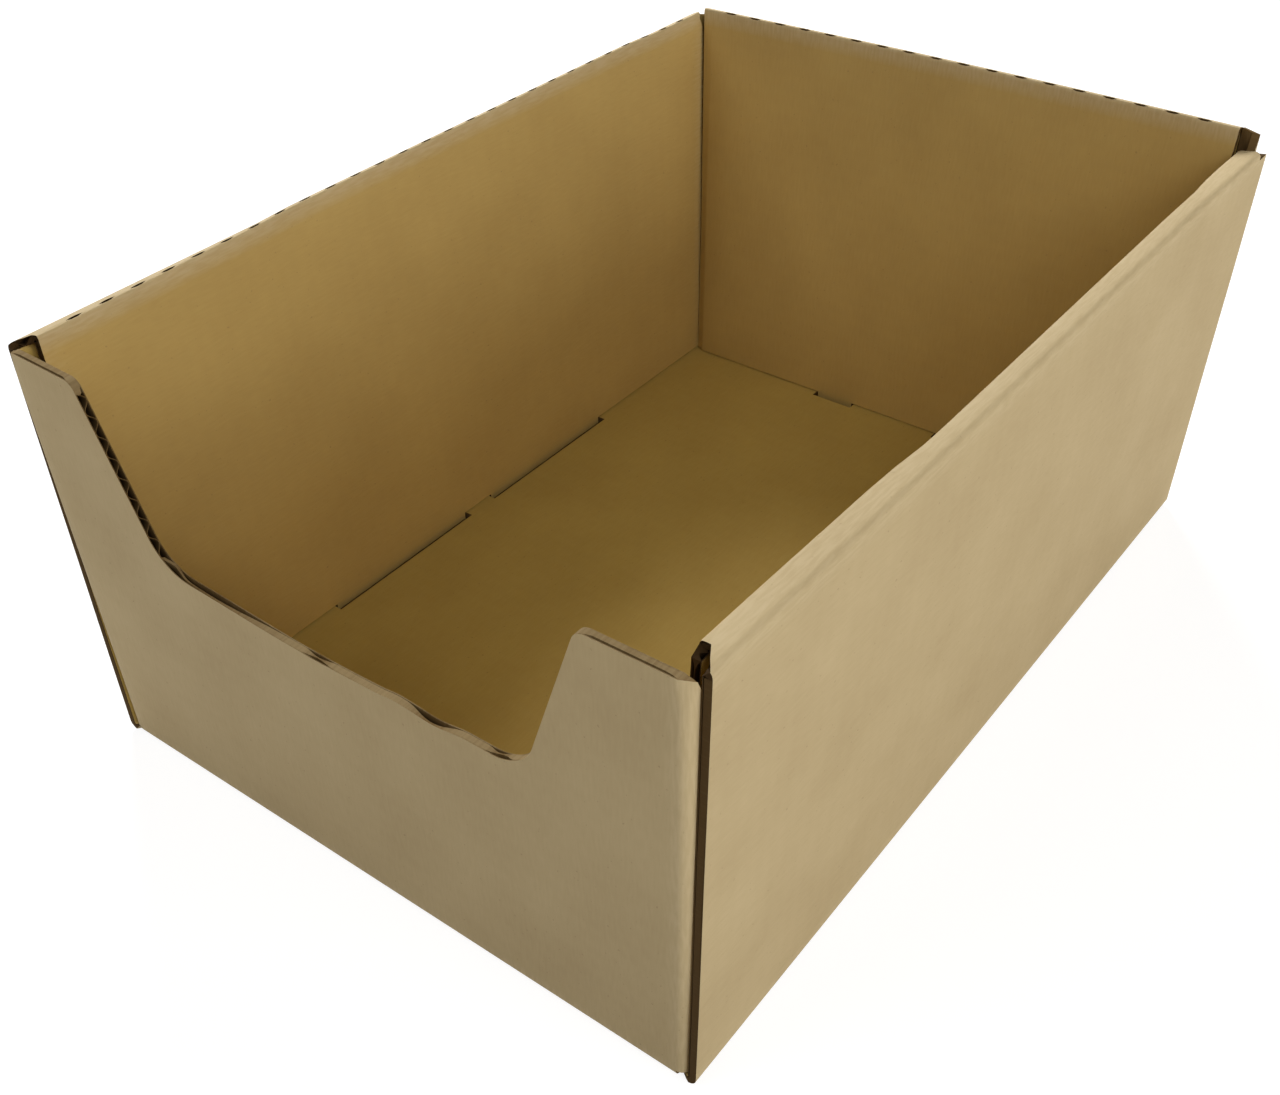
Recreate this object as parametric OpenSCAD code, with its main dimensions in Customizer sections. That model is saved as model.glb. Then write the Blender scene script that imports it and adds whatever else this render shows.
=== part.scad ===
// Open drawer tray, folded from one die-cut sheet of corrugated board.
// The sides and the back are rolled over into double walls, and the front is a single wall with a scoop.
// Frame: X across the tray, Y from front to back, Z up, origin under the middle of the floor. Millimetres.

/* [Tray] */
// Outside width across the side walls
tray_w = 250; // [180:1:400]
// Outside length from front to back
tray_l = 352; // [300:1:600]
// Outside height of the rolled walls
tray_h = 160; // [130:1:260]

/* [Board] */
// Thickness of the board
board = 2.8; // [1.6:0.1:4.5]
// Inside radius of every fold
fold_r = 0.4; // [0.2:0.1:1]
// Room between layers that lie on each other
layer_gap = 0.3; // [0.2:0.1:1]

/* [Side walls] */
// How far the foot of a side's inner panel stands in from its rolled top
side_lean = 5; // [0:0.5:12]
// Set-back of a side's inner panel behind the front face
side_front_set = 5.5; // [5:0.5:15]
// Set-back of a side's rolled top from the back face
side_back_set = 7; // [5:0.5:15]

/* [Back wall] */
// Room between the back wall's two layers
back_gap = 1.2; // [1:0.1:5]
// How far the foot of the back's inner panel stands in from its rolled top
back_lean = 6; // [0:0.5:12]
// Room between the ends of the back's rolled top and the side walls
back_end_gap = 1; // [0.5:0.5:10]

/* [Front wall] */
// How far the front wall's top stays below the rolled tops
lip_drop = 2.5; // [1:0.5:8]
// Width of the flat top that stays on each side of the scoop
lip_w = 28; // [10:1:50]
// How far each end of the scoop slants in on its way down
scoop_run = 20; // [0:1:40]
// Depth of the scoop below the front wall's top
scoop_depth = 59; // [20:1:100]
// Radius of the scoop's bottom corners
scoop_r = 16; // [5:0.5:30]
// Radius of the lips at the top of the scoop
lip_r = 4; // [1:0.5:10]

/* [Dust flaps] */
// Length of each front flap along its side wall
flap_l = 100; // [40:1:140]
// Length of each back flap along its side wall
back_flap_l = 45; // [30:1:140]
// Room between a flap's top edge and the rolled top above it
flap_gap = 8; // [6:0.5:20]
// Corner cut at a flap's free end
flap_cut = 12; // [4:1:30]

/* [Locks] */
// Length of each lock tab on a side
side_tab_l = 76; // [20:1:80]
// Spacing of a side's two tabs, centre to centre
side_tab_pitch = 93; // [84:1:150]
// Length of each lock tab on the back
back_tab_l = 18; // [10:1:40]
// Spacing of the back's two tabs, centre to centre
back_tab_pitch = 62; // [50:1:110]
// Room at each end of a tab in its slot
slot_end_gap = 1; // [0.5:0.5:3]
// Room in a slot on the tray side of its tab
slot_front_gap = 2; // [0.5:0.1:4]
// Room in a slot behind its tab
slot_rear_gap = 0.5; // [0.3:0.1:2]
// Height of an inner panel's foot above the floor
foot_gap = 0.5; // [0.2:0.1:2]
// How far a tab's end stays above the tray's underside
tab_recess = 0.4; // [0.2:0.1:1]

/* [Perforated creases] */
// Length of each cut along a rolled wall's inner crease
cut_l = 6; // [3:0.5:12]
// Length of each bridge between two cuts
bridge_l = 6; // [3:0.5:12]
// Angle to which each cut opens as the crease is folded
cut_angle = 34; // [10:1:60]

/* [Hidden] */
$fn = 48;
// Overlap of a cutting shape past the face that it cuts
over = 1;

half_w = tray_w / 2;
half_l = tray_l / 2;
// Outside radius of every fold
fold_out = fold_r + board;
// Height of the flat part of a rolled wall's outer panel
outer_flat = tray_h - 2 * fold_out;
// A side's roll holds the outer panel, a flap and the inner panel
side_roll_w = 3 * board + 2 * layer_gap;
// The back's roll holds only its own two layers
back_roll_w = 2 * board + back_gap;
// Half width of the front and back walls between the folds of their flaps
wall_half = half_w - board - layer_gap - fold_out;
// Half width of the back's rolled top, and of its inner panel's narrower foot
back_half = half_w - side_roll_w - back_end_gap;
back_foot_gap = back_end_gap / 2;
back_foot_half = min(back_half, half_w - side_roll_w - side_lean - back_foot_gap);
// Top and bottom edges of the flaps, which clear the rolled tops and the folds of the floor
flap_top = tray_h - board - flap_gap;
flap_bottom = fold_out + layer_gap;
// Top of the front wall, and half its width there, which clears the slanted ends of the rolled tops
lip_top = tray_h - lip_drop;
lip_half = min(wall_half - layer_gap, half_w - side_roll_w * (board + layer_gap) / side_front_set);
// Height of an inner panel from its crease down to its foot
inner_drop = tray_h - fold_out - board - foot_gap;
// Length of each tab below its panel's foot
tab_drop = foot_gap + board - tab_recess;
// The cuts repeat at this pitch
cut_pitch = cut_l + bridge_l;
kraft = [0.71, 0.58, 0.40];

// One fold of the board in section, a quarter turn inwards from the end of a flat stretch
module bend() {
    translate([0, fold_out])
        intersection() {
            difference() {
                circle(fold_out);
                circle(fold_r);
            }
            translate([0, -2 * fold_out])
                square(2 * fold_out);
        }
}

// Places what follows a fold at the fold's far end
module after_bend() {
    translate([0, fold_out])
        rotate(90)
            translate([0, -fold_out])
                children();
}

// A strip of board in section, with a fold between each flat stretch and the next
module folded(flats, step = 0) {
    square([flats[step], board]);
    if (step < len(flats) - 1)
        translate([flats[step], 0]) {
            bend();
            after_bend()
                folded(flats, step + 1);
        }
}

// Draws a wall's section, given outwards and up, along the wall from one end to the other
module along(from, to) {
    translate([0, to, 0])
        rotate([90, 0, 0])
            linear_extrude(to - from)
                children();
}

// The section's frame at the floor's edge, at the outer panel's top, at the inner crease and at its foot
module at_floor_edge(half_span) {
    translate([half_span - fold_out, 0])
        children();
}
module at_panel_top(half_span) {
    at_floor_edge(half_span)
        after_bend()
            translate([outer_flat, 0])
                children();
}
module at_inner_crease(half_span, roll_w) {
    at_panel_top(half_span)
        after_bend()
            translate([roll_w - 2 * fold_out, 0])
                children();
}
module at_foot(half_span, roll_w, lean) {
    at_inner_crease(half_span, roll_w)
        after_bend()
            translate([inner_drop, -lean])
                children();
}

// An inner panel in section, leaning away from its wall on the way down
module inner_panel(lean) {
    polygon([[0, 0], [inner_drop, -lean], [inner_drop, board - lean], [0, board]]);
}

// The gap that a cut opens through the middle of a fold, in section
module open_cut() {
    reach = 2 * fold_out;
    translate([0, fold_out])
        rotate(45)
            polygon([[0, 0], [-reach * sin(cut_angle / 2), -reach * cos(cut_angle / 2)],
                     [reach * sin(cut_angle / 2), -reach * cos(cut_angle / 2)]]);
}

// Centres of the cuts along a crease, spread evenly about the middle of the stretch
function cut_places(from, to) =
    let (count = floor((to - from - bridge_l) / cut_pitch))
    [for (i = [0 : count - 1]) (from + to) / 2 + (i - (count - 1) / 2) * cut_pitch];

// The floor, with a slot for every lock tab
module floor_panel() {
    difference() {
        translate([fold_out - half_w, fold_out - half_l, 0])
            cube([tray_w - 2 * fold_out, tray_l - 2 * fold_out, board]);
        for (side = [0, 1])
            mirror([side, 0, 0])
                lock_slots(half_w - side_roll_w - side_lean, side_tab_l, side_tab_pitch);
        rotate(90)
            lock_slots(half_l - back_roll_w - back_lean, back_tab_l, back_tab_pitch);
    }
}
module lock_slots(foot, tab_l, pitch) {
    slot_l = tab_l + 2 * slot_end_gap;
    slot_w = slot_front_gap + board + slot_rear_gap;
    for (place = [-pitch / 2, pitch / 2])
        translate([foot - slot_front_gap, place - slot_l / 2, -over])
            cube([slot_w, slot_l, board + 2 * over]);
}

// An outer panel with the fold that joins it to the floor
module outer_panel(half_span, from, to, flat) {
    along(from, to)
        at_floor_edge(half_span) {
            bend();
            after_bend()
                square([flat, board]);
        }
}

// The rolled top of a wall with its inner panel, cut through along the inner crease
module rolled_top(half_span, roll_w, lean, from, to) {
    difference() {
        along(from, to) {
            at_panel_top(half_span) {
                bend();
                after_bend()
                    square([roll_w - 2 * fold_out, board]);
            }
            at_inner_crease(half_span, roll_w) {
                bend();
                after_bend()
                    inner_panel(lean);
            }
        }
        for (place = cut_places(from, to))
            along(place - cut_l / 2, place + cut_l / 2)
                at_inner_crease(half_span, roll_w)
                    open_cut();
    }
}

// The two tabs below an inner panel's foot
module lock_tabs(half_span, roll_w, lean, tab_l, pitch) {
    for (place = [-pitch / 2, pitch / 2])
        along(place - tab_l / 2, place + tab_l / 2)
            at_foot(half_span, roll_w, lean)
                square([tab_drop, board]);
}

// The right side wall: its inner panel starts behind the front wall, and its top's front end is cut aslant
module side_wall() {
    outer_panel(half_w, -half_l, half_l, outer_flat);
    lock_tabs(half_w, side_roll_w, side_lean, side_tab_l, side_tab_pitch);
    difference() {
        rolled_top(half_w, side_roll_w, side_lean, -half_l, half_l - side_back_set);
        linear_extrude(tray_h + over)
            translate([half_w, -half_l])
                polygon([[0, 0], [-side_roll_w, side_front_set],
                         [-side_roll_w - side_lean - over, side_front_set],
                         [-side_roll_w - side_lean - over, -over], [0, -over]]);
    }
}

// The wall across one end of the tray, in plan: its panel and its two flaps
module end_wall_plan(reach) {
    flap_flat = reach - fold_out;
    translate([-half_w + board + layer_gap, -half_l + reach])
        rotate(-90)
            folded([flap_flat, 2 * wall_half, flap_flat]);
}

// Takes the corners off the free ends of a pair of flaps
module flap_corner_cuts(reach) {
    for (height = [flap_bottom, flap_top])
        translate([0, -half_l + reach, height])
            rotate([45, 0, 0])
                cube([tray_w, flap_cut * sqrt(2), flap_cut * sqrt(2)], center = true);
}

// The end wall at the front, up to the height of its flaps, which reach back along the sides
module end_wall(reach) {
    rotate(-90)
        outer_panel(half_l, -wall_half, wall_half, flap_bottom - fold_out);
    difference() {
        translate([0, 0, flap_bottom])
            linear_extrude(flap_top - flap_bottom)
                end_wall_plan(reach);
        flap_corner_cuts(reach);
    }
}

// The space between a corner and the arc that rounds it, reaching a little past the two edges there
module rounding(before, corner, after, radius) {
    to_before = (before - corner) / norm(before - corner);
    to_after = (after - corner) / norm(after - corner);
    hand = sign(cross(to_before, to_after));
    past_before = hand * over * [to_before.y, -to_before.x];
    past_after = hand * over * [-to_after.y, to_after.x];
    half_angle = acos(to_before * to_after) / 2;
    touch_before = corner + to_before * radius / tan(half_angle);
    touch_after = corner + to_after * radius / tan(half_angle);
    inwards = (to_before + to_after) / norm(to_before + to_after);
    difference() {
        polygon([corner + past_before + past_after, touch_before + past_before, touch_before,
                 touch_after, touch_after + past_after]);
        translate(corner + inwards * radius / sin(half_angle))
            circle(radius);
    }
}

// Outline of the scoop, across and up
module scoop_outline() {
    high = [wall_half - lip_w, lip_top];
    low = high - [scoop_run, scoop_depth];
    past = high + (high - low) * over / (high.y - low.y);
    lip_end = [lip_half, lip_top];
    difference() {
        polygon([low, past, [-past.x, past.y], [-low.x, low.y]]);
        for (side = [0, 1])
            mirror([side, 0])
                rounding(high, low, [0, low.y], scoop_r);
    }
    for (side = [0, 1])
        mirror([side, 0])
            rounding(low, high, lip_end, lip_r);
}

// The front wall: an end wall raised to the lips, with the scoop cut out of it
module front_wall() {
    difference() {
        union() {
            end_wall(flap_l);
            translate([-lip_half, -half_l, flap_top])
                cube([2 * lip_half, board, lip_top - flap_top]);
        }
        translate([0, -half_l + board + over, 0])
            rotate([90, 0, 0])
                linear_extrude(board + 2 * over)
                    scoop_outline();
    }
}

// The back wall: an end wall raised to full height, with a rolled top that narrows to its foot
module back_wall() {
    mirror([0, 1, 0])
        end_wall(back_flap_l);
    rotate(90) {
        outer_panel(half_l, -back_half, back_half, outer_flat);
        lock_tabs(half_l, back_roll_w, back_lean, back_tab_l, back_tab_pitch);
        difference() {
            rolled_top(half_l, back_roll_w, back_lean, -back_half, back_half);
            back_foot_cuts();
        }
    }
    // Beside the roll the back wall ends in a plain upright edge
    for (side = [0, 1])
        mirror([side, 0, 0])
            translate([back_half + layer_gap, half_l - board, flap_top])
                cube([wall_half - back_half - layer_gap, board, tray_h - flap_top]);
}

// Takes a long wedge off each end of the back's inner panel, from its crease down to its foot
module back_foot_cuts() {
    inner_face = half_l - back_roll_w - back_lean - over;
    for (side = [0, 1])
        mirror([0, side, 0])
            translate([inner_face, 0, 0])
                rotate([90, 0, 90])
                    linear_extrude(back_lean + board + layer_gap + over)
                        polygon([[back_half, tray_h - fold_out], [back_foot_half, board], [back_foot_half, 0],
                                 [back_half + over, 0], [back_half + over, tray_h - fold_out]]);
}

module tray() {
    color(kraft)
        union() {
            floor_panel();
            for (side = [0, 1])
                mirror([side, 0, 0])
                    side_wall();
            front_wall();
            back_wall();
        }
}

tray();
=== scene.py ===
"""Looks of an open drawer tray that is folded from one die-cut sheet of corrugated kraft board.

The sheet is cut out flat, as a blank, with its slots, creases and perforations. It is then given its
two liners and the open flutes of its raw edges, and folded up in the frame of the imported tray. Metres.
"""
import math

import bpy
import numpy as np
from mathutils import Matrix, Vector, geometry, noise


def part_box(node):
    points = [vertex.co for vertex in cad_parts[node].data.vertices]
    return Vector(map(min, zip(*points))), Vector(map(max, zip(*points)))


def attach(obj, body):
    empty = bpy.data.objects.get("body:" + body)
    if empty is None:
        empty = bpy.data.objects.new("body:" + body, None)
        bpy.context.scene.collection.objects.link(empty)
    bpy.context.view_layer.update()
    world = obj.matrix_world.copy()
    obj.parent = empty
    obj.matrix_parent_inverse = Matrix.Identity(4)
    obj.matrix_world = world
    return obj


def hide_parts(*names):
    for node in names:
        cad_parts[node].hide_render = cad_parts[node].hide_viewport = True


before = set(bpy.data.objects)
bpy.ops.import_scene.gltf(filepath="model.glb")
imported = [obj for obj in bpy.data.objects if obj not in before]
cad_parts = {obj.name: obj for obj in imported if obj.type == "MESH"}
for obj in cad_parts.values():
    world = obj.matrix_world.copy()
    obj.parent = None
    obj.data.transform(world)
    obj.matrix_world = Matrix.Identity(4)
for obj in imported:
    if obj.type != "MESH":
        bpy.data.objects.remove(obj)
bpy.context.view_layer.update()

mm = 0.001
quarter = math.pi / 2

# Sizes of the tray, of its board and of its folds
tray_low, tray_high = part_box("tray")
tray_w, tray_l, tray_h = tray_high - tray_low
board = 2.8 * mm
fold_r = 0.4 * mm
layer_gap = 0.3 * mm

# Side walls, rolled over a flap, and the back wall, rolled over nothing
side_lean = 5 * mm
side_front_set = 5.5 * mm
side_back_set = 7 * mm
inner_back_set = 4 * mm
back_gap = 1.2 * mm
back_lean = 6 * mm
back_end_gap = 1 * mm

# Front wall with its scoop
lip_drop = 2.5 * mm
lip_w = 28 * mm
scoop_run = 20 * mm
scoop_depth = 59 * mm
scoop_r = 16 * mm
lip_r = 4 * mm

# Flaps inside the side walls
flap_l = 100 * mm
back_flap_l = 45 * mm
flap_gap = 8 * mm
flap_cut = 12 * mm

# Lock tabs and their slots
side_tab_l = 76 * mm
side_tab_pitch = 93 * mm
back_tab_l = 18 * mm
back_tab_pitch = 62 * mm
slot_end_gap = 1 * mm
slot_front_gap = 3 * mm
slot_rear_gap = 0.5 * mm
foot_gap = 0.5 * mm
tab_recess = 0.4 * mm

# Perforated creases
cut_l = 6 * mm
bridge_l = 6 * mm
side_cut_angle = math.radians(17)
side_cut_turns = {-1: math.radians(35), 1: math.radians(70)}
back_cut_angle = math.radians(19)
back_cut_turn = math.radians(40)
cut_point = 1.8 * mm

# Paper of the board: the liners, and the fluted medium between them, which the cut leaves open to a depth
liner = 0.28 * mm
medium = 0.22 * mm
flute_pitch = 6.4 * mm
flute_rise = 1.15
flute_wander = 1.6 * mm
flute_depth = 5 * mm
raw_corner_room = 2.5 * mm

# How the folded walls have settled: the front leans out, and the side rolls are pinched where no flap
# fills them
front_lean = 3 * mm
flap_pinch = 0.5 * mm
free_pinch = 2 * mm
pinch_ease = 30 * mm
# How far a side's rolled top has sunk at its outer rim and at its inner crease, all along, and how much
# more at its back end
left_sunk = (2.6 * mm, -1.3 * mm)
left_back_sunk = (0, 0)
right_sunk = (2 * mm, 2 * mm)
right_back_sunk = (1.5 * mm, 3 * mm)
sunk_from_front = 110 * mm
sunk_at_back = 80 * mm
# How the back wall bows out, stands up at its rim and at its crease, and curls back at the ends of its
# inner panel
back_pinch = 0.8 * mm
back_out = 2 * mm
back_rise = (0.8 * mm, 2.9 * mm)
back_curl = 2 * mm
back_curl_w = 4.5 * mm
# Where the front edges of the left and the right side wall start, at the floor and at the rim, and where
# the creases of their rolls start
wall_sets = {-1: (0, 0), 1: (0.8 * mm, 1.4 * mm)}
roll_sets = {-1: side_front_set, 1: 8.5 * mm}
# How the front and back walls' tops run on over the folds of their flaps
fold_dip = 1.5 * mm
fold_run = 3 * mm
left_ear_dip = 2.5 * mm

# How the panels bow outwards
side_bow = 0.8 * mm
inner_bow = 1.2 * mm
front_bow = 1 * mm
floor_bow = 0.5 * mm
panel_wave = 0.25 * mm
wave_length = 75 * mm

# How square each fold is, from 2 for a round one
round_fold = 2
side_rim_square = 2.6
back_rim_square = 4.5
crease_square = 5.5

# The scoop's rough bottom edge: its dents, each as place, length and depth, and where its flutes gape,
# each as place, length and share
scoop_dents = ((-8 * mm, 116 * mm, 1.9 * mm),
               (24 * mm, 12 * mm, -0.4 * mm),
               (39 * mm, 24 * mm, 1.2 * mm))
scoop_gapes = ((-55 * mm, 80 * mm, 0.8),
               (-6 * mm, 14 * mm, 0.8),
               (38 * mm, 22 * mm, 0.8),
               (62 * mm, 11 * mm, 0.8))
# How far other raw edges gape: the lips' tops, the side walls' ends, and where the cut has pressed them shut
lip_gape = 0.35
wall_gape = 0.15
shut_flutes = 0.1
# How dark the cut edges are painted, from 0 for pale paper to 1 for the depth of a flute: painted shade of
# the open flutes and recesses, over the edge's own browner paper
edge_shade = 0.5
deep_shade = 0.8
# Painted shade on the side walls' cut edges: the outer panels' edges, and darker still those of the rolls
# and inner panels
wall_end_shade = 0.7
roll_end_shade = 0.8
# Painted shade on the inner face of the ear beside the right end of the back wall's roll
shaded_ear_tone = 0.75

# How fine the sheet is divided
sheet_step = 14 * mm
rough_step = 1 * mm
fold_rows = 8
crease_fade = 4 * mm
curl_rows = (1, 0.7, 0.4, 0.15)
same_point = 0.001 * mm
open_from = 0.01 * mm
corner_turn = math.radians(10)
sharp_angle = math.radians(32)

# What follows from these sizes
half_w = tray_w / 2
half_l = tray_l / 2
fold_out = fold_r + board
fold_len = fold_out * quarter
outer_flat = tray_h - 2 * fold_out
side_roll_w = 3 * board + 2 * layer_gap
back_roll_w = 2 * board + back_gap
floor_half_w = half_w - fold_out
floor_half_l = half_l - fold_out
wall_half = half_w - board - layer_gap - fold_out
back_half = half_w - side_roll_w - back_end_gap
back_foot_half = min(back_half, half_w - side_roll_w - side_lean - back_end_gap / 2)
flap_top = tray_h - board - flap_gap
flap_bottom = fold_out + layer_gap
lip_top = tray_h - lip_drop
inner_drop = tray_h - fold_out - board - foot_gap
tab_drop = foot_gap + board - tab_recess
cut_pitch = cut_l + bridge_l
side_flats = (outer_flat, side_roll_w - 2 * fold_out, inner_drop)
back_flats = (outer_flat, back_roll_w - 2 * fold_out, inner_drop)
side_squares = (round_fold, side_rim_square, crease_square)
back_squares = (round_fold, back_rim_square, crease_square)


def stations(flats):
    """Distances along a rolled wall's strip: its rim, inner crease, inner panel's top and foot."""
    rim = fold_len + flats[0]
    crease = rim + fold_len + flats[1]
    inner = crease + fold_len
    return rim, crease, inner, inner + flats[2]


side_rim, side_crease, side_inner, side_foot = stations(side_flats)
back_rim, back_crease, back_inner, back_foot = stations(back_flats)


def wall_station(height):
    """Distance along an upright wall's strip, from the floor's edge to a height above the underside."""
    return fold_len + height - fold_out


# Folding

def heading(angle):
    """Direction along a strip that has turned by an angle."""
    return np.stack([np.cos(angle), np.sin(angle)], -1)


def across(angle):
    """Direction through the board of a strip that has turned by an angle."""
    return np.stack([-np.sin(angle), np.cos(angle)], -1)


def squared(turn, square):
    """How much farther out a squared fold reaches than a round one, at an angle into its quarter turn."""
    return (np.cos(turn) ** square + np.sin(turn) ** square) ** (-1 / square)


def roll_up(along, depth, flats, squares):
    """Places a strip that leaves an edge flat and takes a quarter turn inwards before each flat stretch."""
    along = along.copy()
    depth = depth[:, None]
    start = np.zeros(2)
    angle = 0.0
    place = along[:, None] * heading(0.0) + depth * across(0.0)
    for flat, square in zip(flats, squares):
        centre = start + fold_out * across(angle)
        turn = quarter * np.clip(along / fold_len, 0, 1)
        turned = centre - (fold_out - depth) * squared(turn, square)[:, None] * across(angle + turn)
        place = np.where(along[:, None] > 0, turned, place)
        angle += quarter
        start = centre - fold_out * across(angle)
        along -= fold_len
        straight = start + along[:, None] * heading(angle) + depth * across(angle)
        place = np.where(along[:, None] > 0, straight, place)
        along -= flat
        start = start + flat * heading(angle)
    return place


def smooth(share):
    """Eases a share in at 0 and out at 1."""
    share = np.clip(share, 0, 1)
    return share * share * (3 - 2 * share)


def swell(share):
    """A rounded rise and fall over a share from 0 to 1."""
    return np.sin(math.pi * np.clip(share, 0, 1))


def side_pinch(v):
    """How far a side's inner crease is pressed outwards: little beside a flap, more between the flaps."""
    past_front = smooth((v + half_l - flap_l) / pinch_ease + 0.5)
    before_back = smooth((half_l - back_flap_l - v) / pinch_ease + 0.5)
    return flap_pinch + (free_pinch - flap_pinch) * past_front * before_back


def side_sunk(u, v, inwards):
    """How far a side's rolled top has sunk, along the wall and from its rim inwards to its crease."""
    is_right = u > 0
    along = smooth((v + half_l) / sunk_from_front)
    at_back = smooth((v - half_l) / sunk_at_back + 1)
    rim, crease = [np.where(is_right, right, left) for left, right in zip(left_sunk, right_sunk)]
    rim_more, crease_more = [np.where(is_right, right, left)
                             for left, right in zip(left_back_sunk, right_back_sunk)]
    at_rim = rim * np.where(is_right, along, 1) + rim_more * at_back
    at_crease = crease * along + crease_more * at_back
    return at_rim * (1 - inwards) + at_crease * inwards


def fold_side(u, v, depth):
    """A side wall: outer panel, rolled top and leaning inner panel."""
    along = np.abs(u) - floor_half_w
    out, up = roll_up(along, depth, side_flats, side_squares).T
    inset = fold_out - out
    down = np.clip((along - side_inner) / inner_drop, 0, 1)
    filled = np.clip((inset - board) / (side_roll_w - 2 * board), 0, 1) * (along > fold_len)
    sunk = side_sunk(u, v, np.clip(inset / side_roll_w, 0, 1)) * up / tray_h
    out = out + side_pinch(v) * filled * (1 - down) - side_lean * down
    return np.stack([np.sign(u) * (floor_half_w + out), v, up - sunk], 1)


def fold_end(u, v, depth):
    """The front or the back wall, with its flaps, and with the back's rolled top and inner panel."""
    along = np.abs(v) - floor_half_l
    plain = roll_up(along, depth, (tray_h,), (round_fold,))
    rolled = roll_up(along, depth, back_flats, back_squares)
    is_roll = (v > 0) & (np.abs(u) < back_half + layer_gap / 2) & (along > back_rim - crease_fade)
    out, up = np.where(is_roll[:, None], rolled, plain).T
    down = np.clip((along - back_inner) / inner_drop, 0, 1)
    filled = np.clip((fold_out - out - board) / (back_roll_w - 2 * board), 0, 1)
    edge = back_half + (back_foot_half - back_half) * down
    room = np.minimum(back_curl, (back_gap - back_pinch + back_lean * down) / 2)
    curl = room * smooth((np.abs(u) - edge) / back_curl_w + 1) * (along > back_inner)
    out = out + np.where(is_roll, back_pinch * filled * (1 - down) - back_lean * down + curl, 0)
    turned = roll_up(np.abs(u) - wall_half, depth, (flap_l,), (round_fold,))
    is_flap = np.abs(u) > wall_half
    x = np.where(is_flap, np.sign(u) * (wall_half + turned[:, 0]), u)
    inset = np.where(is_flap, turned[:, 1], fold_out - out)
    front = lean_front(x, inset, up, along)
    back = settle_back(x, inset, up, u)
    return np.where((v < 0)[:, None], front, back)


def lean_front(x, inset, up, along):
    """Turns the front wall and its flaps outwards about the bottom edge."""
    lean = front_lean / lip_top * np.clip(along / fold_len, 0, 1)
    leaned = inset * np.cos(lean) - up * np.sin(lean)
    return np.stack([x, leaned - half_l, up * np.cos(lean) + inset * np.sin(lean)], 1)


def settle_back(x, inset, up, u):
    """Bows the back wall's top outwards, and raises its rim and, a little more, its inner crease."""
    middle = swell((u / wall_half + 1) / 2)
    share = up / tray_h
    inwards = np.where(np.abs(u) < wall_half, np.clip(inset / back_roll_w, 0, 1), 0)
    rise = back_rise[0] * (1 - inwards) + back_rise[1] * inwards
    return np.stack([x, half_l - inset + back_out * middle * share, up + rise * share], 1)


def fold_up(points):
    """Takes points of the flat blank, with their depth in the board, to their places in the tray."""
    u, v, depth = points.T
    is_side = (np.abs(u) > floor_half_w) & (np.abs(v) < half_l + layer_gap)
    is_end = (np.abs(v) > floor_half_l) & ~is_side
    place = points.copy()
    place[is_side] = fold_side(u[is_side], v[is_side], depth[is_side])
    place[is_end] = fold_end(u[is_end], v[is_end], depth[is_end])
    return place


# Bows of the panels

def bow(points):
    """How far each point of the blank stands out of its flat panel, towards the board's outer face."""
    u, v, _ = points.T
    side = np.abs(u) - floor_half_w
    end = np.abs(v) - floor_half_l
    is_side = (side > 0) & (np.abs(v) < half_l + layer_gap)
    is_end = (end > 0) & ~is_side & (np.abs(u) < wall_half)
    wave = np.array([noise.noise(Vector((a / wave_length, b / wave_length, 0.0))) for a, b in zip(u, v)])
    out = np.zeros(len(points))
    length_share = (v / half_l + 1) / 2
    width_share = (u / wall_half + 1) / 2
    outer = swell((side - fold_len) / outer_flat)
    inner = swell((side - side_inner) / inner_drop)
    out += np.where(is_side, outer * (side_bow * swell(length_share) + panel_wave * wave), 0)
    out += np.where(is_side, inner * (inner_bow * swell(length_share) + panel_wave * wave), 0)
    rise = np.clip((end - fold_len) / wall_station(lip_top), 0, 1)
    out += np.where(is_end & (v < 0), rise * swell(width_share) * (front_bow + panel_wave * wave), 0)
    back_outer = swell((end - fold_len) / outer_flat)
    back_panel = swell((end - back_inner) / inner_drop)
    out += np.where(is_end & (v > 0), back_outer * swell(width_share) * (side_bow + panel_wave * wave), 0)
    out += np.where(is_end & (v > 0), back_panel * swell(width_share) * (inner_bow + panel_wave * wave), 0)
    is_floor = (side < 0) & (end < 0)
    out -= np.where(is_floor, floor_bow * swell((u / floor_half_w + 1) / 2) * swell(length_share), 0)
    return out


# The blank's outlines

def is_raw(u, v):
    """Whether the board's edge shows open flutes here: at the scoop and at the ends of the rolled walls."""
    side = abs(u) - floor_half_w
    end = abs(v) - floor_half_l
    if side > 0 and abs(v) < half_l + layer_gap:
        front_end = v < roll_sets[1 if u > 0 else -1] + layer_gap - half_l
        is_end = front_end or v > half_l - side_back_set - layer_gap
        return is_end and side < side_foot - raw_corner_room
    if end > wall_station(lip_top) - scoop_depth - scoop_r and v < 0:
        return abs(u) < wall_half
    if end > wall_station(flap_top) - layer_gap and v > 0:
        is_roll = back_foot_half - layer_gap < abs(u) < back_half + layer_gap / 2
        return is_roll and end < back_foot - raw_corner_room
    return False


def is_shaded_ear(u, v):
    """Whether the ear beside the right end of the back wall's roll is painted dark here, with the cut edge's
    paper, as painted shade in its recess.
    """
    return u > back_half + layer_gap / 2 and v > floor_half_l + wall_station(flap_top)


def counterclockwise(outline):
    """The same outline, turned round where it runs clockwise."""
    area = sum(a[0] * b[1] - a[1] * b[0] for a, b in zip(outline, outline[1:] + outline[:1]))
    return outline if area > 0 else outline[::-1]


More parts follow.
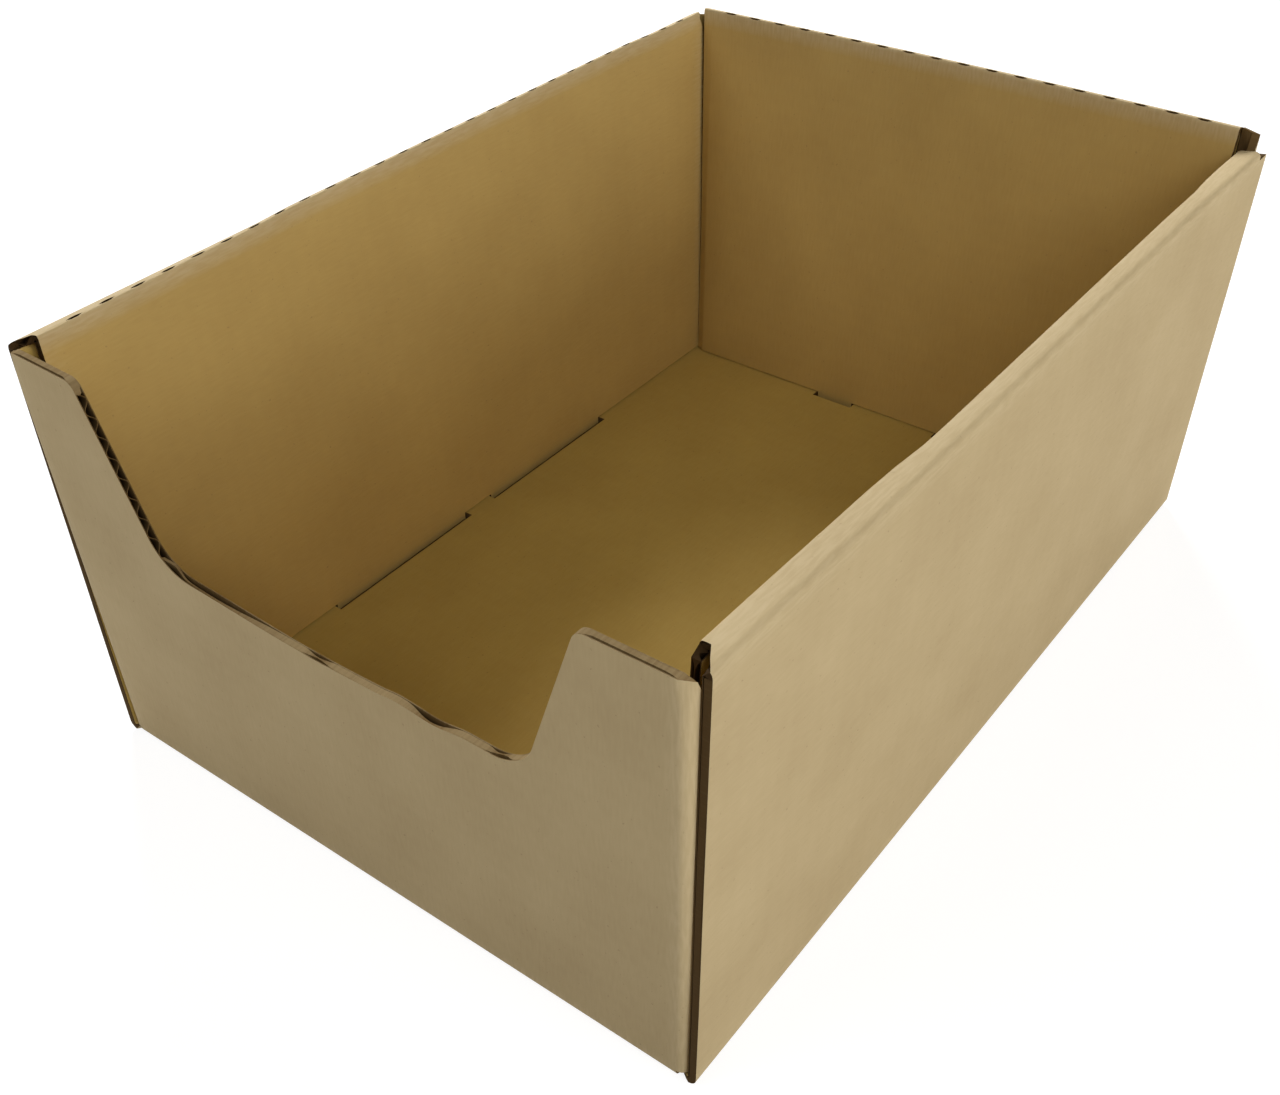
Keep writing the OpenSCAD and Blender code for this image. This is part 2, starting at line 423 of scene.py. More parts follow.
def divided(outline):
    """An outline with points set along its edges: close where the cut crosses open flutes."""
    points = []
    for a, b in zip(outline, outline[1:] + outline[:1]):
        a, b = np.array(a), np.array(b)
        step = 2 * sheet_step
        if is_raw(*(a + b) / 2):
            crosses = abs(b[1] - a[1]) > 0.1 * abs(b[0] - a[0])
            step = flute_pitch / 12 if crosses else flute_pitch / 4
        count = max(1, math.ceil(np.linalg.norm(b - a) / step))
        points += [tuple(a + (b - a) * i / count) for i in range(count)]
    return points


def arc(before, corner, after, radius, step):
    """Points of the round that takes the place of a corner."""
    before, corner, after = np.array(before), np.array(corner), np.array(after)
    to_before = (before - corner) / np.linalg.norm(before - corner)
    to_after = (after - corner) / np.linalg.norm(after - corner)
    half = math.acos(to_before @ to_after) / 2
    inwards = (to_before + to_after) / np.linalg.norm(to_before + to_after)
    centre = corner + inwards * radius / math.sin(half)
    first = corner + to_before * radius / math.tan(half) - centre
    last = corner + to_after * radius / math.tan(half) - centre
    sweep = math.atan2(first[0] * last[1] - first[1] * last[0], first @ last)
    count = max(5, math.ceil(radius * abs(sweep) / step))
    turns = [sweep * i / count for i in range(count + 1)]
    return [tuple(centre + np.array([first[0] * math.cos(t) - first[1] * math.sin(t),
                                     first[0] * math.sin(t) + first[1] * math.cos(t)])) for t in turns]


def mirrored(points):
    """A right half with its left half."""
    return points + [(-u, v) for u, v in reversed(points)]


def floor_outline():
    return mirrored([(floor_half_w, -floor_half_l), (floor_half_w, floor_half_l)])


def tab_points(foot, places, tab_l):
    """Outline of the tabs along a foot, as distances along the strip and along the wall."""
    points = []
    for place in places:
        points += [(foot, place - tab_l / 2), (foot + tab_drop, place - tab_l / 2),
                   (foot + tab_drop, place + tab_l / 2), (foot, place + tab_l / 2)]
    return points


def side_outline(side):
    """A side wall: outer panel, top strip, and inner panel with its tabs."""
    front = -half_l + side_front_set
    back = half_l - side_back_set
    places = (-side_tab_pitch / 2, side_tab_pitch / 2)
    crease_front = roll_sets[side] - half_l
    inner_back = half_l - inner_back_set
    foot_set, rim_set = wall_sets[side]
    strip = [(0, foot_set - half_l), (side_rim + fold_len / 2, rim_set - half_l),
             (side_crease, crease_front), (side_inner - fold_len / 3, crease_front),
             (side_inner, front), (side_foot, front)]
    strip += tab_points(side_foot, places, side_tab_l)
    strip += [(side_foot, inner_back), (side_inner + fold_len, inner_back), (side_inner, back),
              (side_rim, back), (side_rim, half_l), (0, half_l)]
    return [(side * (floor_half_w + along), v) for along, v in strip]


def end_half(reach, top_points):
    """Right half of the front or the back wall with its flap, under a given top."""
    low = wall_station(flap_bottom)
    high = wall_station(flap_top)
    tip = wall_half + fold_len + reach - fold_out
    return [(wall_half, 0), (wall_half, low), (tip - flap_cut, low), (tip, low + flap_cut),
            (tip, high - flap_cut), (tip - flap_cut, high)] + top_points


def mark(u, marks):
    """Sum of rounded marks along an edge, each given as its place, its length and its height."""
    return sum(height * math.cos(math.pi * (u - place) / length) ** 2
               for place, length, height in marks if abs(u - place) < length / 2)


def front_outline():
    """The front wall with its lips, its scoop and its two flaps."""
    top = wall_station(lip_top)
    high = (wall_half - lip_w, top)
    low = (high[0] - scoop_run, top - scoop_depth)
    lip = arc((wall_half, top), high, low, lip_r, flute_pitch)
    corner = arc(high, low, (0, low[1]), scoop_r, flute_pitch / 12)
    fold_tip = wall_half + fold_len
    fold_top = [(fold_tip + fold_run, wall_station(flap_top)), (fold_tip, top - fold_dip), (wall_half, top)]
    half = end_half(flap_l, fold_top + lip + corner)
    places = np.arange(corner[-1][0], -corner[-1][0], -rough_step)[1:]
    bottom = [(u, low[1] - mark(u, scoop_dents)) for u in places]
    whole = half + bottom + [(-u, along) for u, along in reversed(half)]
    return [(u, -floor_half_l - along) for u, along in whole]


def back_outline():
    """The back wall with its two ears, its two flaps, and its inner panel with its tabs."""
    shelf = wall_station(flap_top)
    ear = back_half + layer_gap
    fold_tip = wall_half + fold_len
    tab = [(u, along) for along, u in reversed(tab_points(back_foot, (back_tab_pitch / 2,), back_tab_l))]
    panel = [(back_half, shelf), (back_half, back_inner), (back_foot_half, back_foot)]
    halves = []
    for dip in (0, left_ear_dip):
        top = wall_station(tray_h - dip)
        ear_points = [(fold_tip + fold_run, shelf), (fold_tip, top), (ear, top), (ear, shelf)]
        halves.append(end_half(back_flap_l, ear_points + panel + tab))
    whole = halves[0] + [(-u, along) for u, along in reversed(halves[1])]
    return [(u, floor_half_l + along) for u, along in whole]


def slot_outlines():
    """Slots in the floor for the tabs of the three inner panels."""
    slot_w = slot_front_gap + board + slot_rear_gap
    outlines = []
    for side in (-1, 1):
        for place in (-side_tab_pitch / 2, side_tab_pitch / 2):
            near = half_w - side_roll_w - side_lean - slot_front_gap
            reach = side_tab_l / 2 + slot_end_gap
            outlines.append([(side * near, place - reach), (side * (near + slot_w), place - reach),
                             (side * (near + slot_w), place + reach), (side * near, place + reach)])
        near = half_l - back_roll_w - back_lean - slot_front_gap
        reach = back_tab_l / 2 + slot_end_gap
        place = side * back_tab_pitch / 2
        outlines.append([(place - reach, near), (place + reach, near),
                         (place + reach, near + slot_w), (place - reach, near + slot_w)])
    return outlines


def cut_places(start, end):
    """Middles of the perforations between the two ends of a crease."""
    count = math.floor((end - start - bridge_l) / cut_pitch)
    return [(start + end) / 2 + (i - (count - 1) / 2) * cut_pitch for i in range(count)]


def cut_outline(across_at, along_at, angle):
    """One perforation, pointed at both ends, as distances across the crease and along it."""
    cut_half_w = fold_len * angle / quarter / 2
    shoulder = cut_l / 2 - cut_point
    return [(across_at, along_at - cut_l / 2), (across_at + cut_half_w, along_at - shoulder),
            (across_at + cut_half_w, along_at + shoulder), (across_at, along_at + cut_l / 2),
            (across_at - cut_half_w, along_at + shoulder), (across_at - cut_half_w, along_at - shoulder)]


def perforations():
    """Cuts along the inner creases of the three rolled walls."""
    outlines = []
    for side in (-1, 1):
        middle = floor_half_w + side_crease + fold_len * side_cut_turns[side] / quarter
        for place in cut_places(roll_sets[side] - half_l, half_l - side_back_set):
            outlines.append([(side * u, v) for u, v in cut_outline(middle, place, side_cut_angle)])
    middle = floor_half_l + back_crease + fold_len * back_cut_turn / quarter
    for place in cut_places(-back_half, back_half):
        outlines.append([(u, v) for v, u in cut_outline(middle, place, back_cut_angle)])
    return outlines


def crease_rows():
    """Lines that follow each fold: its rows, and the ends of its faded margin."""
    rows = [fold_len * i / fold_rows for i in range(fold_rows + 1)]
    rows = [-crease_fade] + rows + [fold_len + crease_fade]
    lines = []
    for row in rows:
        for side in (-1, 1):
            for start in (0, side_rim, side_crease):
                u = side * (floor_half_w + start + row)
                lines.append(((u, -half_l), (u, half_l)))
            for end in (-1, 1):
                v = end * (floor_half_l + row)
                lines.append(((0, v), (side * wall_half, v)))
                u = side * (wall_half + row)
                lines.append(((u, end * (floor_half_l + wall_station(flap_bottom))),
                              (u, end * (floor_half_l + wall_station(flap_top)))))
            for start in (back_rim, back_crease):
                v = floor_half_l + start + row
                lines.append(((0, v), (side * back_half, v)))
    for side in (-1, 1):
        for share in curl_rows:
            lines.append(((side * (back_half - share * back_curl_w), floor_half_l + back_inner),
                          (side * (back_foot_half - share * back_curl_w), floor_half_l + back_foot)))
    return lines


# The flat blank as triangles

def inside_grid():
    """Points all over the sheet, so that its panels can bow."""
    reach_u = floor_half_w + side_foot
    reach_v = floor_half_l + back_foot
    us = np.arange(-reach_u, reach_u, sheet_step)
    vs = np.arange(-reach_v, reach_v, sheet_step)
    return [(u, v) for u in us for v in vs]


def cut_blank():
    """Triangles of the flat blank, without its slots and perforations."""
    panels = [floor_outline(), side_outline(-1), side_outline(1), front_outline(), back_outline()]
    holes = slot_outlines() + perforations()
    points, edges, loops = [], [], []
    for outline in panels + holes:
        outline = divided(counterclockwise(outline))
        loops.append(list(range(len(points), len(points) + len(outline))))
        points += outline
    for a, b in crease_rows():
        a, b = np.array(a), np.array(b)
        count = max(1, math.ceil(np.linalg.norm(b - a) / sheet_step))
        first = len(points)
        points += [tuple(a + (b - a) * i / count) for i in range(count + 1)]
        edges += [(first + i, first + i + 1) for i in range(count)]
    points += inside_grid()
    made = geometry.delaunay_2d_cdt([Vector(p) for p in points], edges, loops, 1, same_point)
    flat, triangles, origins = made[0], made[2], made[5]
    kept = [t for t, origin in zip(triangles, origins)
            if any(o < len(panels) for o in origin) and not any(o >= len(panels) for o in origin)]
    used = sorted({i for t in kept for i in t})
    number = {old: new for new, old in enumerate(used)}
    return np.array([tuple(flat[i]) for i in used]), [[number[i] for i in t] for t in kept]


def rims(triangles):
    """Closed runs of points along the cut edges, with the board on the left."""
    whole = {(a, b) for t in triangles for a, b in zip(t, t[1:] + t[:1])}
    after = {a: b for a, b in whole if (b, a) not in whole}
    runs = []
    while after:
        first, here = after.popitem()
        run = [first]
        while here != first:
            run.append(here)
            here = after.pop(here)
        runs.append(run)
    return runs


# The board: two liners, plain cut edges, and raw edges with open flutes

outer_paper, inner_paper, edge_paper = range(3)


class Board:
    """Points and faces of the sheet, still flat."""

    def __init__(self):
        self.points = []
        self.painted_shade = []
        self.faces = []
        self.papers = []

    def point(self, place, depth, painted_shade=0.0):
        self.points.append((place[0], place[1], depth))
        self.painted_shade.append(painted_shade)
        return len(self.points) - 1

    def face(self, corners, paper):
        corners = list(dict.fromkeys(corners))
        if len(corners) > 2:
            self.faces.append(corners)
            self.papers.append(paper)


def flute_height(place):
    """Height of the fluted medium's middle in the board, which wanders a little along each flute."""
    u, v = place
    wander = flute_wander * noise.noise(Vector((u / wave_length, v / wave_length, 7.0)))
    rise = flute_rise * (board / 2 - liner - medium / 2)
    return board / 2 - rise * math.cos(2 * math.pi * (abs(v) - half_l + wander) / flute_pitch)


def gape(place):
    """How far the cut has left the flutes open: little at the side walls' ends, unevenly at the front."""
    u, v = place
    if 0 < abs(u) - floor_half_w < side_rim and abs(v) < half_l + layer_gap:
        return wall_gape
    height = abs(v) - floor_half_l - wall_station(lip_top)
    if v > -half_l - board or height < -scoop_depth - scoop_r or abs(u) > wall_half:
        return 1.0
    if height < -scoop_depth + scoop_r / 2 and abs(u) < wall_half - lip_w - scoop_run:
        return min(1.0, shut_flutes + mark(u, scoop_gapes))
    if height > -lip_r:
        return lip_gape
    return 1.0 if u < 0 else shut_flutes


def openness(run, flat):
    """How far the flutes are open at each point of a rim: not at all at plain edges and at corners."""
    places = flat[run]
    ahead = np.roll(places, -1, 0) - places
    lengths = np.linalg.norm(ahead, axis=1)
    ahead /= lengths[:, None]
    behind = np.roll(ahead, 1, 0)
    cross = behind[:, 0] * ahead[:, 1] - behind[:, 1] * ahead[:, 0]
    turn = np.abs(np.arctan2(cross, (behind * ahead).sum(1)))
    closed = (turn > corner_turn) | ~np.array([is_raw(*p) for p in places])
    inwards = np.stack([-ahead[:, 1] - behind[:, 1], ahead[:, 0] + behind[:, 0]], 1)
    inwards /= np.linalg.norm(inwards, axis=1)[:, None]
    at = np.concatenate([[0], np.cumsum(lengths)])
    around = at[-1]
    stops = at[:-1][closed]
    gapes = np.array([gape(p) for p in places])
    if len(stops) == 0:
        return gapes, gapes, inwards
    gap = np.abs(at[:-1, None] - stops[None, :])
    gap = np.minimum(gap, around - gap).min(1)
    return gapes * np.clip(gap / raw_corner_room, 0, 1), gapes, inwards


def raise_rim(sheet, run, flat, under, over):
    """Closes the board along one rim: the liners' edges, the medium's edge and the pockets beside it, and
    sets each point's painted shade.
    """
    share, gapes, inwards = openness(run, flat)
    columns = []
    for i, k, gaping, inward in zip(run, share, gapes, inwards):
        place = flat[i]
        # Painted shade: each cut edge is painted darker the more its flutes gape
        shade = gaping * edge_shade
        # The side walls' cut edges take their own painted shade, darkest inside the rolled tops
        if abs(place[0]) > floor_half_w and abs(place[1]) < half_l + layer_gap:
            shade = wall_end_shade if abs(place[0]) < floor_half_w + side_rim else roll_end_shade
        levels = [under[i], over[i]]
        for level in levels:
            sheet.painted_shade[level] = shade
        column = {"ends": levels, "levels": levels, "pockets": (None, None)}
        if is_raw(*place):
            middle = flute_height(place)
            low = liner + k * max(0, middle - medium / 2 - liner)
            high = board - liner - k * max(0, board - liner - middle - medium / 2)
            heights = (liner, low, high, board - liner)
            open_low = low - liner > open_from
            open_high = board - liner - high > open_from
            a = sheet.point(place, heights[0], shade)
            b = sheet.point(place, heights[1], shade) if open_low else a
            d = sheet.point(place, heights[3], shade)
            c = sheet.point(place, heights[2], shade) if open_high else d
            deep = place + inward * flute_depth
            column["levels"] = [under[i], a, b, c, d, over[i]]
            column["pockets"] = ((a, b, deep, heights[0], heights[1]), (c, d, deep, heights[2], heights[3]))
            column["open"] = (open_low, open_high)
        columns.append(column)
    for here, there in zip(columns, columns[1:] + columns[:1]):
        if here["pockets"][0] is None or there["pockets"][0] is None:
            sheet.face(here["ends"][:1] + there["levels"] + here["levels"][:0:-1], edge_paper)
            continue
        for k in (0, 2, 4):
            a, b = here["levels"][k], here["levels"][k + 1]
            c, d = there["levels"][k], there["levels"][k + 1]
            sheet.face([a, c, d, b], edge_paper)
        for k in (0, 1):
            pocket(sheet, here, there, k)


def pocket(sheet, here, there, k):
    """The space between the medium and a liner, from one column of a raw edge to the next."""
    if not (here["open"][k] or there["open"][k]):
        return
    sides = []
    for column in (here, there):
        low, high, deep, low_at, high_at = column["pockets"][k]
        if "deep" not in column:
            column["deep"] = {}
        if k not in column["deep"]:
            # The pocket's far end is painted at full shade, as painted shade in the depth of the flute
            back_low = sheet.point(deep, low_at, 1.0)
            back_high = sheet.point(deep, high_at, 1.0) if column["open"][k] else back_low
            column["deep"][k] = (back_low, back_high)
        sides.append((low, high) + column["deep"][k])
    (a, b, a_deep, b_deep), (c, d, c_deep, d_deep) = sides
    sheet.face([a, c, c_deep, a_deep], edge_paper)
    sheet.face([b, b_deep, d_deep, d], edge_paper)
    sheet.face([a_deep, c_deep, d_deep, b_deep], edge_paper)


def crease_share(points):
    """1 in a fold, fading to 0 on the panels beside it."""
    u, v, _ = points.T
    side = np.abs(u) - floor_half_w
    end = np.abs(v) - floor_half_l
    is_side = (side > -crease_fade) & (np.abs(v) < half_l + layer_gap)
    share = np.zeros(len(points))
    for start in (0, side_rim, side_crease):
        gap = np.maximum(start - side, side - start - fold_len)
        share = np.maximum(share, np.where(is_side, 1 - np.clip(gap / crease_fade, 0, 1), 0))
    for start in (0, back_rim, back_crease):
        gap = np.maximum(start - end, end - start - fold_len)
        wanted = (~is_side | (end < 0)) & ((v > 0) | (start == 0))
        share = np.maximum(share, np.where(wanted, 1 - np.clip(gap / crease_fade, 0, 1), 0))
    gap = np.maximum(wall_half - np.abs(u), np.abs(u) - wall_half - fold_len)
    share = np.maximum(share, np.where(~is_side & (end > 0), 1 - np.clip(gap / crease_fade, 0, 1), 0))
    return share


def inside_share(points):
    """1 on the inner panels of the rolled walls, and 0 outside: the share of the liner's painted interior
    shade.
    """
    u, v, _ = points.T
    side = np.abs(u) - floor_half_w
    end = v - floor_half_l
    is_side = (side > 0) & (np.abs(v) < half_l + layer_gap)
    share = np.where(is_side, smooth((side - side_crease) / (2 * fold_len)), 0)
    return np.where((end > 0) & ~is_side, smooth((end - back_crease) / (2 * fold_len)), share)


def make_tray():
    """The folded tray as one mesh with the blank's own coordinates as its map."""
    flat, triangles = cut_blank()
    sheet = Board()
    under = [sheet.point(p, 0.0) for p in flat]
    # The ear beside the back roll's right end is painted dark, as painted shade in its recess
    over = [sheet.point(p, board, shaded_ear_tone * is_shaded_ear(*p)) for p in flat]
    for a, b, c in triangles:
        middle = (flat[a] + flat[b] + flat[c]) / 3
        sheet.face([under[a], under[c], under[b]], outer_paper)
        sheet.face([over[a], over[b], over[c]], edge_paper if is_shaded_ear(*middle) else inner_paper)
    for run in rims(triangles):
        raise_rim(sheet, run, flat, under, over)
    points = np.array(sheet.points)
    outer, inner = points.copy(), points.copy()
    outer[:, 2] = 0.0
    inner[:, 2] = board
    outwards = fold_up(outer) - fold_up(inner)
    outwards /= np.linalg.norm(outwards, axis=1)[:, None]
    places = fold_up(points) + outwards * bow(points)[:, None]
    mesh = bpy.data.meshes.new("tray_board")
    mesh.from_pydata(places.tolist(), [], sheet.faces)
    blank_map = mesh.uv_layers.new(name="blank")
    corner_points = np.zeros(len(mesh.loops), int)
    mesh.loops.foreach_get("vertex_index", corner_points)
    blank_map.data.foreach_set("uv", points[corner_points, :2].ravel())
    for name, values in (("crease", crease_share(points)), ("inside", inside_share(points)),
                         ("painted_shade", np.array(sheet.painted_shade))):
        mesh.attributes.new(name, "FLOAT", "POINT").data.foreach_set("value", values)
    mesh.polygons.foreach_set("material_index", np.array(sheet.papers, int))
    mesh.polygons.foreach_set("use_smooth", np.ones(len(sheet.faces), bool))
    mesh.set_sharp_from_angle(angle=sharp_angle)
    mesh.update()
    piece = bpy.data.objects.new("folded_board", mesh)
    bpy.context.scene.collection.objects.link(piece)
    return piece


# Effects that the papers share

def feed(tree, socket, source):
    """Sets a socket to a value, or links another node's output to it."""
    if isinstance(source, bpy.types.NodeSocket):
        tree.links.new(source, socket)
    else:
        socket.default_value = source


def effect(name, inputs, outputs):
    """A new node group with its named sockets, and the nodes that hold them."""
    group = bpy.data.node_groups.new(name, "ShaderNodeTree")
    for socket, kind in inputs:
        group.interface.new_socket(socket, in_out="INPUT", socket_type=kind)
    for socket in outputs:
        group.interface.new_socket(socket, in_out="OUTPUT", socket_type="NodeSocketFloat")
    return group, group.nodes.new("NodeGroupInput").outputs, group.nodes.new("NodeGroupOutput").inputs


def sums(tree, operation, a, b):
    """One step of arithmetic."""
    node = tree.nodes.new("ShaderNodeMath")
    node.operation = operation
    feed(tree, node.inputs[0], a)
    feed(tree, node.inputs[1], b)
    return node.outputs["Value"]


def spread(tree, value, low, high, low_to, high_to):
    """Takes a value from one range to another, held within it."""
    node = tree.nodes.new("ShaderNodeMapRange")
    for socket, source in zip(node.inputs, (value, low, high, low_to, high_to)):
        feed(tree, socket, source)
    return node.outputs["Result"]


def stretched(tree, place, scale):
    """Places on the sheet, scaled along each axis."""
    node = tree.nodes.new("ShaderNodeVectorMath")
    node.operation = "MULTIPLY"
    feed(tree, node.inputs[0], place)
    node.inputs[1].default_value = scale
    return node.outputs["Vector"]


def clouds(tree, place, sizes, detail):
    """Soft noise whose spots have the given sizes across and along the sheet."""
    node = tree.nodes.new("ShaderNodeTexNoise")
    node.inputs["Scale"].default_value = 1
    node.inputs["Detail"].default_value = detail
    feed(tree, node.inputs["Vector"], stretched(tree, place, (1 / sizes[0], 1 / sizes[1], 1)))
    return node.outputs["Fac"]


def blend(tree, share, a, b, mode="MIX"):
    """Takes one colour to another by a share."""
    node = tree.nodes.new("ShaderNodeMix")
    node.data_type = "RGBA"
    node.blend_type = mode
    feed(tree, node.inputs["Factor"], share)
    for socket, colour in zip((node.inputs[6], node.inputs[7]), (a, b)):
        feed(tree, socket, colour if isinstance(colour, bpy.types.NodeSocket) else (*colour, 1))
    return node.outputs[2]


cloud_size = (34 * mm, 42 * mm)
fibre_size = (0.9 * mm, 7 * mm)
speck_size = (1.1 * mm, 1.6 * mm)
speck_from, speck_full = 0.72, 0.78
broken_from, broken_full = 0.42, 0.62
least_broken = 0.35


def make_fibre():
    """Kraft pulp: cloudy formation, fibres along the paper's run, and sparse specks."""
    group, given, made = effect("kraft_fibre", [("Place", "NodeSocketVector")], ("Cloud", "Fibre", "Speck"))
    feed(group, made["Cloud"], clouds(group, given["Place"], cloud_size, 4))
    feed(group, made["Fibre"], clouds(group, given["Place"], fibre_size, 3))
    specks = clouds(group, given["Place"], speck_size, 1)
    feed(group, made["Speck"], spread(group, specks, speck_from, speck_full, 0, 1))
    return group


def make_washboard():
    """The flutes that show faintly through a liner, as soft ridges."""
    group, given, made = effect("flute_ridges", [("Place", "NodeSocketVector")], ("Ridge",))
    parts = group.nodes.new("ShaderNodeSeparateXYZ")
    feed(group, parts.inputs[0], stretched(group, given["Place"], (1, 2 * math.pi / flute_pitch, 1)))
    feed(group, made["Ridge"], sums(group, "SINE", parts.outputs["Y"], 0))
    return group


def make_wear():
    """Broken fibres along the folds."""
    sockets = [("Crease", "NodeSocketFloat"), ("Fibre", "NodeSocketFloat")]
    group, given, made = effect("fold_wear", sockets, ("Worn",))
    broken = spread(group, given["Fibre"], broken_from, broken_full, least_broken, 1)
    feed(group, made["Worn"], sums(group, "MULTIPLY", given["Crease"], broken))
    return group


fibre_effect = make_fibre()
washboard_effect = make_washboard()
wear_effect = make_wear()


# Papers

cloud_share, fibre_share, ridge_share = 0.65, 0.35, 0.012
dark_tone, light_tone = 0.3, 0.7
speck_strength = 0.4
wear_strength = 0.6
ridge_height = 0.25
bump_depth = 0.1 * mm


def use(tree, group, **sources):
    """Puts a shared effect into a material, and gives its outputs."""
    node = tree.nodes.new("ShaderNodeGroup")
    node.node_tree = group
    for socket, source in sources.items():
        feed(tree, node.inputs[socket], source)
    return node.outputs


def point_value(tree, name):
    """A value that the tray's mesh keeps at each point."""
    node = tree.nodes.new("ShaderNodeAttribute")
    node.attribute_name = name
    return node.outputs["Fac"]


def start_material(name):
    """A new material, its nodes, and the inputs of its shader."""
    material = bpy.data.materials.new(name)
    material.use_nodes = True
    return material, material.node_tree, material.node_tree.nodes["Principled BSDF"].inputs


def blank_place(tree):
    """The place on the flat blank."""
    node = tree.nodes.new("ShaderNodeUVMap")
    node.uv_map = "blank"
    return node.outputs["UV"]


def roughen(tree, shader, height, strength):
    """Gives a paper fine relief."""
    node = tree.nodes.new("ShaderNodeBump")
    node.inputs["Strength"].default_value = strength
    node.inputs["Distance"].default_value = bump_depth
    feed(tree, node.inputs["Height"], height)
    feed(tree, shader["Normal"], node.outputs["Normal"])


def make_liner(name, dark, light, speck, worn, inside):
    """A face paper of the board, from its darker to its lighter tone, and tinted warmer and darker on the
    inner panels, as painted shade of the tray's interior.
    """
    material, tree, shader = start_material(name)
    place = blank_place(tree)
    fibre = use(tree, fibre_effect, Place=place)
    ridge = use(tree, washboard_effect, Place=place)["Ridge"]
    wear = use(tree, wear_effect, Crease=point_value(tree, "crease"), Fibre=fibre["Fibre"])["Worn"]
    cloud = sums(tree, "MULTIPLY", fibre["Cloud"], cloud_share)
    tone = sums(tree, "ADD", cloud, sums(tree, "MULTIPLY", fibre["Fibre"], fibre_share))
    # The flute ridges shift the tone a little: painted shade of the washboard
    tone = sums(tree, "ADD", tone, sums(tree, "MULTIPLY", ridge, ridge_share))
    colour = blend(tree, spread(tree, tone, dark_tone, light_tone, 0, 1), dark, light)
    # Painted shade: the inner panels are tinted warmer and darker, standing for the shaded interior
    colour = blend(tree, point_value(tree, "inside"), colour, inside, "MULTIPLY")
    colour = blend(tree, sums(tree, "MULTIPLY", fibre["Speck"], speck_strength), colour, speck)
    colour = blend(tree, sums(tree, "MULTIPLY", wear, wear_strength), colour, worn)
    feed(tree, shader["Base Color"], colour)
    feed(tree, shader["Roughness"], spread(tree, tone, dark_tone, light_tone, 0.86, 0.74))
    shader["Specular IOR Level"].default_value = 0.3
    height = sums(tree, "ADD", fibre["Fibre"], sums(tree, "MULTIPLY", ridge, ridge_height))
    roughen(tree, shader, height, 0.25)
    return material


def make_cut_edge(name, pale, brown, deep):
    """The cut edges of the papers, and the insides of the open flutes. Their colour runs with each point's
    painted shade from pale paper through brown to near black: partly the cut edge's browner paper, partly
    painted shade of the open flutes.
    """
    material, tree, shader = start_material(name)
    fibre = use(tree, fibre_effect, Place=blank_place(tree))
    # Painted shade: pale to brown up to edge_shade, then brown to near black towards the flutes' depth
    painted_shade = point_value(tree, "painted_shade")
    uneven = spread(tree, fibre["Fibre"], 0.35, 0.65, -0.2, 0.2)
    opened = sums(tree, "ADD", spread(tree, painted_shade, 0, edge_shade, 0, 1), uneven)
    colour = blend(tree, opened, pale, brown)
    colour = blend(tree, spread(tree, painted_shade, edge_shade, deep_shade, 0, 1), colour, deep)
    feed(tree, shader["Base Color"], colour)
    shader["Roughness"].default_value = 0.95
    shader["Specular IOR Level"].default_value = 0.1
    roughen(tree, shader, fibre["Fibre"], 0.4)
    return material


tray = make_tray()
papers = (
    # kraft_liner's inside colour is painted shade, multiplied over the inner panels of the rolled walls
    make_liner("kraft_liner", dark=(0.455, 0.342, 0.178), light=(0.52, 0.4, 0.213), speck=(0.25, 0.16, 0.07),
               worn=(0.56, 0.44, 0.25), inside=(0.98, 0.88, 0.54)),
    # inner_liner is partly the inner liner's own browner paper and partly painted shade: made darker and
    # more saturated for the tray's shaded interior
    make_liner("inner_liner", dark=(0.45, 0.305, 0.075), light=(0.51, 0.355, 0.09), speck=(0.22, 0.13, 0.05),
               worn=(0.52, 0.37, 0.16), inside=(1, 1, 1)),
    make_cut_edge("cut_edge", pale=(0.27, 0.195, 0.095), brown=(0.15, 0.09, 0.032),
                  deep=(0.045, 0.024, 0.008)))
for paper in papers:
    tray.data.materials.append(paper)
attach(tray, "root")
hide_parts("tray")


# Stage

paper_white = (0.75, 0.75, 0.75)
# Painted shade: the floor under the tray, seen through the slots in the tray's floor
painted_floor_shade = (0.1, 0.065, 0.025)
shadow_paper = (0.35, 0.35, 0.35, 1)
glow_near, glow_far = 0.82, 1.0
near_reach, far_reach = 0.5, 1.5
floor_reach = 4.0
floor_sink = 0.2 * mm
light_distance = 2.0
sky_light = 0.06


def seen_as_white(tree):
    """1 for the rays that show the backdrop itself, straight or in a reflection."""
    path = tree.nodes.new("ShaderNodeLightPath").outputs
    mirrored_rays = sums(tree, "MAXIMUM", path["Is Glossy Ray"], path["Is Transmission Ray"])
    return sums(tree, "MAXIMUM", path["Is Camera Ray"], mirrored_rays)


def outside_footprint(tree):
    """1 on the floor around the tray, and 0 under it."""
    parts = tree.nodes.new("ShaderNodeSeparateXYZ")
    feed(tree, parts.inputs[0], tree.nodes.new("ShaderNodeNewGeometry").outputs["Position"])
    sides = []
    for axis, reach in (("X", floor_half_w), ("Y", floor_half_l)):
        distance = sums(tree, "ABSOLUTE", parts.outputs[axis], 0)
        sides.append(sums(tree, "GREATER_THAN", distance, float(reach)))
    return sums(tree, "MAXIMUM", sides[0], sides[1])


